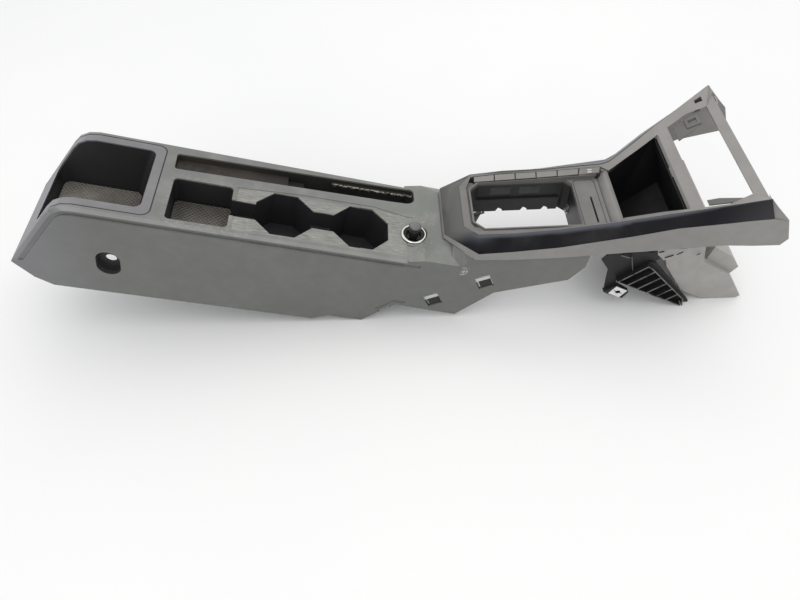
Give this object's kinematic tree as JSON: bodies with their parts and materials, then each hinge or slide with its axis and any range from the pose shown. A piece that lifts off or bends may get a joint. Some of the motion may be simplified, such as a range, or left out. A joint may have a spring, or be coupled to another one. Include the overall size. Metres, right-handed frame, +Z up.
{
  "type": "car center console",
  "caption": "Floor console for a car with rear bin, octagonal cup holders, brake slot, power socket and raised front frame.",
  "frame": {"origin": "centre of the bounding box at the level of the body's lower edge", "axes": "+X towards the dash, +Y to the vehicle's left, +Z up"},
  "size_m": [1.06, 0.236, 0.413],
  "materials": {
    "grained_plastic": "fine grained, dusty and lightly scuffed",
    "dark_plastic": "near black, dull",
    "mat_rubber": "diagonal lattice texture",
    "frame_plastic": "satin",
    "bare_dark_plastic": "rough, dusty",
    "gloss_accent": "gloss, with fine scratches",
    "bright_ring": "dulled",
    "knob_plastic": "satin",
    "raw_plastic": "plain moulded",
    "bracket_plastic": "plain moulded",
    "spring_steel": "zinc plated"
  },
  "bodies": {
    "console": {"console_body": "grained_plastic", "rear_trim": "grained_plastic", "bin_tub": "dark_plastic", "bin_mat": "mat_rubber", "cup_tray": "dark_plastic", "tray_mat": "mat_rubber", "brake_slot_liner": "bare_dark_plastic", "power_socket": "dark_plastic", "socket_ring": "bright_ring", "trim_frame": "frame_plastic", "accent_trim": "gloss_accent", "selector_panel": "frame_plastic", "switch_carrier": "dark_plastic", "switch_blank_1": "frame_plastic", "switch_blank_2": "frame_plastic", "switch_blank_3": "frame_plastic", "switch_blank_4": "frame_plastic", "switch_blank_5": "frame_plastic", "storage_tub": "dark_plastic", "climate_plate_left": "frame_plastic", "climate_plate_right": "frame_plastic", "lower_housing": "raw_plastic", "front_bracket_left": "bracket_plastic", "front_bracket_right": "bracket_plastic", "bracket_clips": "spring_steel", "side_clips": "spring_steel", "dash_clips": "spring_steel", "panel_clip": "spring_steel"},
    "lighter": {"lighter_knob": "knob_plastic"},
    "mode_button": {"mode_switch": "frame_plastic"}
  },
  "joints": [
    {"name": "lighter_pull", "type": "slide", "parent": "console", "child": "lighter", "axis": [-0.1564, 0, 0.9877], "range_m": [0, 0.04]},
    {"name": "mode_press", "type": "slide", "parent": "console", "child": "mode_button", "axis": [0.2918, 0.6123, -0.7348], "range_m": [0, 0.002], "stiffness_N_per_m": 400}
  ]
}
